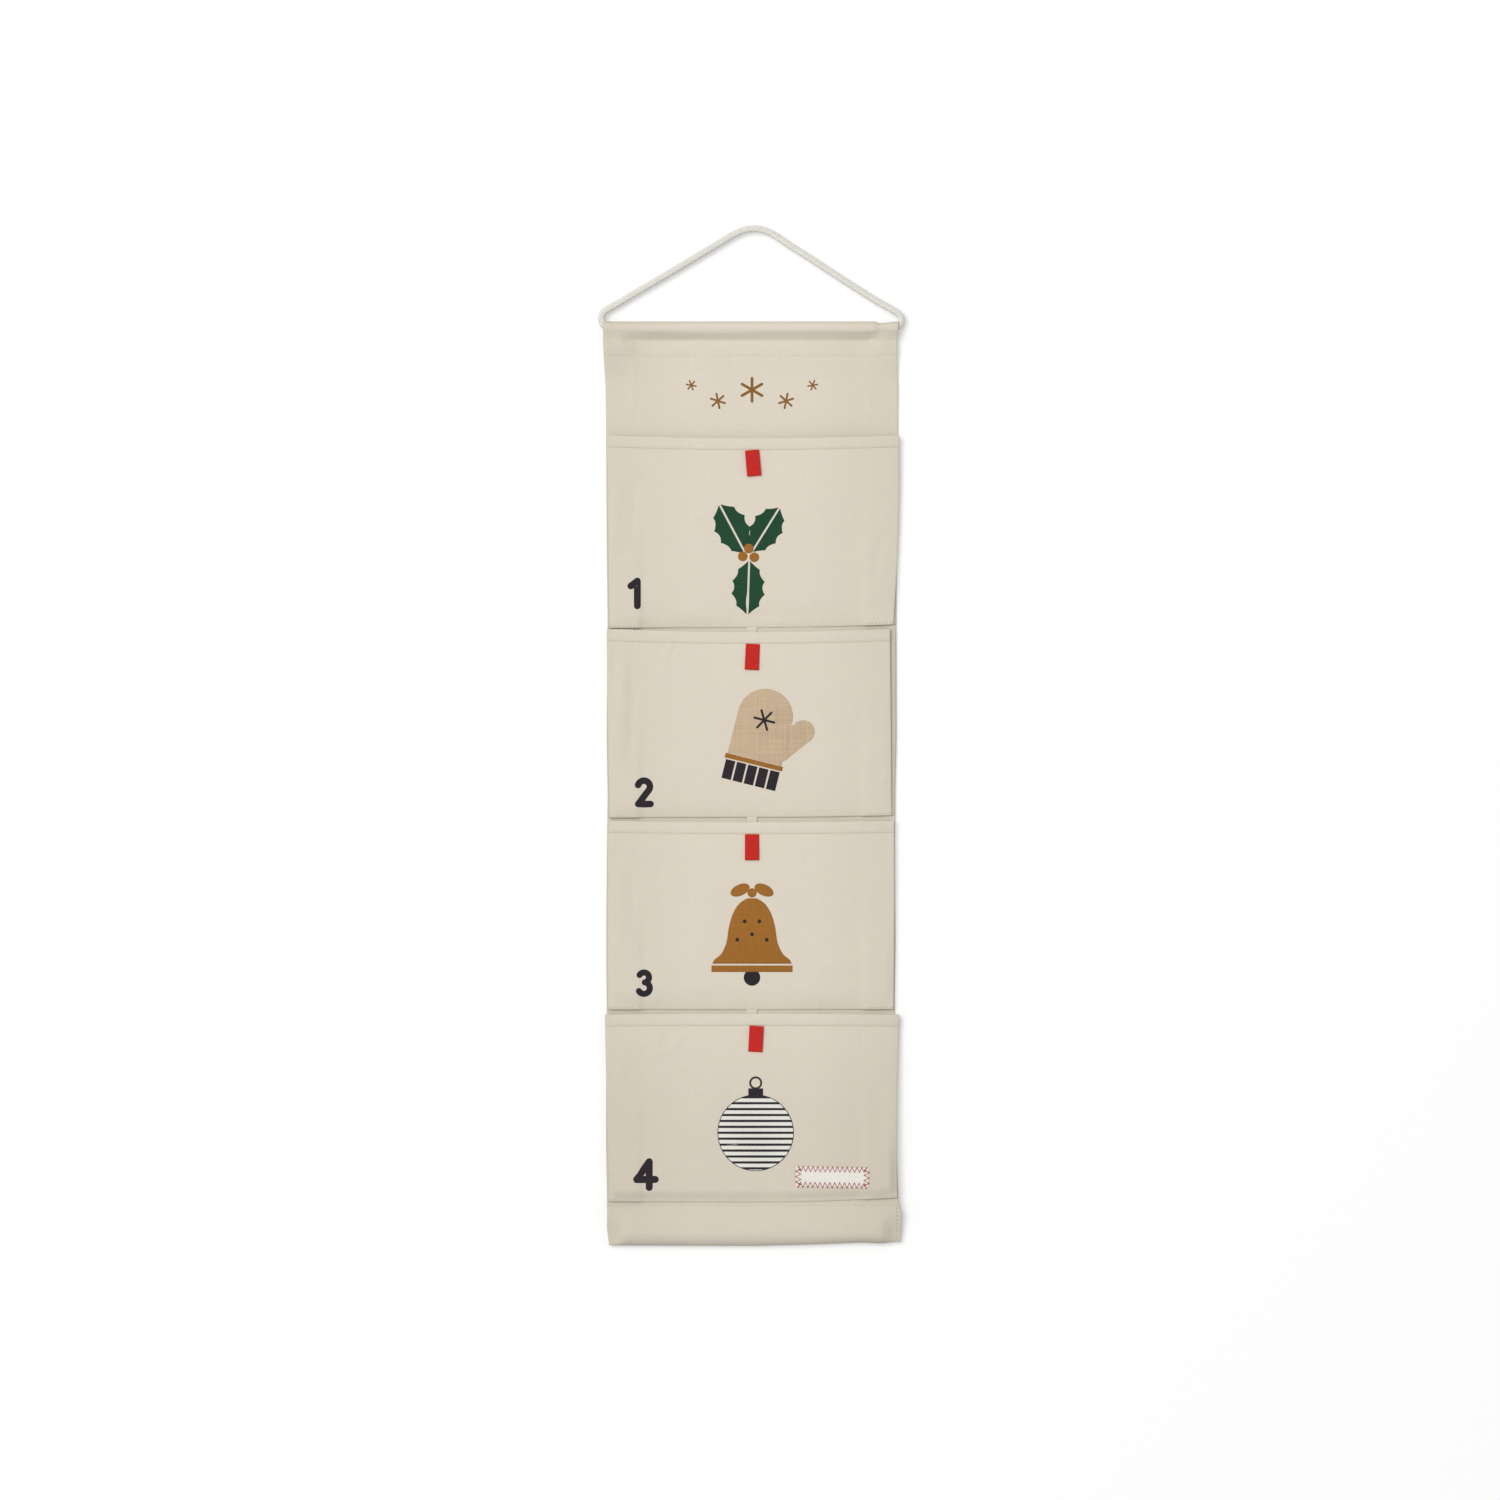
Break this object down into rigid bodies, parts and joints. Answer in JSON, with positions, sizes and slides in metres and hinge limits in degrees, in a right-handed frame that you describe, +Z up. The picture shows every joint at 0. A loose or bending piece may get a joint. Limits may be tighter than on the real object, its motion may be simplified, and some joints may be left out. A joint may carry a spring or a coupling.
{
  "type": "advent calendar",
  "caption": "Hanging canvas banner on a cotton cord loop, with a rod in each end tunnel and a column of numbered bellows pockets with red pull tabs.",
  "frame": {"origin": "the hang point: the underside of the cord loop at the top of its bend", "axes": "+X to the right of someone who looks at the front, +Y towards the wall, +Z up"},
  "size_m": [0.3321, 0.0148, 1.107],
  "materials": {
    "canvas": "plain woven natural cotton canvas",
    "lining": "plain woven thin cotton",
    "cord": "braided cotton cord",
    "tape": "woven cotton tape",
    "ribbon": "red ribbed ribbon",
    "label": "plain woven label, bare",
    "rod": "drawn tube, mill finish"
  },
  "bodies": {
    "cord": {"hanging_cord": "cord", "cord_inner_run": "cord"},
    "banner": {"back_panel": "canvas", "centre_tape_1": "tape", "centre_tape_2": "tape", "centre_tape_3": "tape", "gusset_left_1": "lining", "gusset_left_2": "lining", "gusset_left_3": "lining", "gusset_left_4": "lining", "gusset_right_1": "lining", "gusset_right_2": "lining", "gusset_right_3": "lining", "gusset_right_4": "lining"},
    "top_rod": {"top_rod": "rod"},
    "bottom_rod": {"bottom_rod": "rod"},
    "pocket_1": {"pocket_front_1": "canvas"},
    "pocket_2": {"pocket_front_2": "canvas"},
    "pocket_3": {"pocket_front_3": "canvas"},
    "pocket_4": {"pocket_front_4": "canvas", "label_patch": "label"},
    "tab_1": {"red_tab_1": "ribbon"},
    "tab_2": {"red_tab_2": "ribbon"},
    "tab_3": {"red_tab_3": "ribbon"},
    "tab_4": {"red_tab_4": "ribbon"}
  },
  "joints": [
    {"name": "banner_swing", "type": "hinge", "parent": "cord", "child": "banner", "pos_m": [0, 0, -0.1044], "axis": [-1, 0, 0], "range_deg": [-90, 90]},
    {"name": "top_rod_turn", "type": "hinge", "parent": "banner", "child": "top_rod", "pos_m": [0, 0, -0.1044], "axis": [1, 0, 0], "continuous": true},
    {"name": "bottom_rod_turn", "type": "hinge", "parent": "banner", "child": "bottom_rod", "pos_m": [0, 0, -1.0896], "axis": [1, 0, 0], "continuous": true},
    {"name": "pocket_1_open", "type": "hinge", "parent": "banner", "child": "pocket_1", "pos_m": [0, 0.0046, -0.429], "axis": [1, 0, 0], "range_deg": [0, 12], "stiffness_Nm_per_rad": 0.06, "springref_deg": -11.46, "deforming": ["gusset_left_1", "gusset_right_1"]},
    {"name": "pocket_2_open", "type": "hinge", "parent": "banner", "child": "pocket_2", "pos_m": [0, 0.0046, -0.635], "axis": [1, 0, 0], "range_deg": [0, 12], "stiffness_Nm_per_rad": 0.06, "springref_deg": -11.46, "deforming": ["gusset_left_2", "gusset_right_2"]},
    {"name": "pocket_3_open", "type": "hinge", "parent": "banner", "child": "pocket_3", "pos_m": [0, 0.0046, -0.844], "axis": [1, 0, 0], "range_deg": [0, 12], "stiffness_Nm_per_rad": 0.06, "springref_deg": -11.46, "deforming": ["gusset_left_3", "gusset_right_3"]},
    {"name": "pocket_4_open", "type": "hinge", "parent": "banner", "child": "pocket_4", "pos_m": [0, 0.0046, -1.052], "axis": [1, 0, 0], "range_deg": [0, 12], "stiffness_Nm_per_rad": 0.06, "springref_deg": -11.46, "deforming": ["gusset_left_4", "gusset_right_4"]},
    {"name": "tab_1_lift", "type": "hinge", "parent": "pocket_1", "child": "tab_1", "pos_m": [0, -0.00529, -0.2372], "axis": [-0.9963, 0, -0.0854], "range_deg": [0, 150]},
    {"name": "tab_2_lift", "type": "hinge", "parent": "pocket_2", "child": "tab_2", "pos_m": [0.001, -0.00528, -0.44731], "axis": [-0.9988, 0, 0.0488], "range_deg": [0, 150]},
    {"name": "tab_3_lift", "type": "hinge", "parent": "pocket_3", "child": "tab_3", "pos_m": [0, -0.00528, -0.65361], "axis": [-1, 0, 0], "range_deg": [0, 150]},
    {"name": "tab_4_lift", "type": "hinge", "parent": "pocket_4", "child": "tab_4", "pos_m": [0.005, -0.00528, -0.86146], "axis": [-0.9987, 0, 0.0506], "range_deg": [0, 150]}
  ]
}
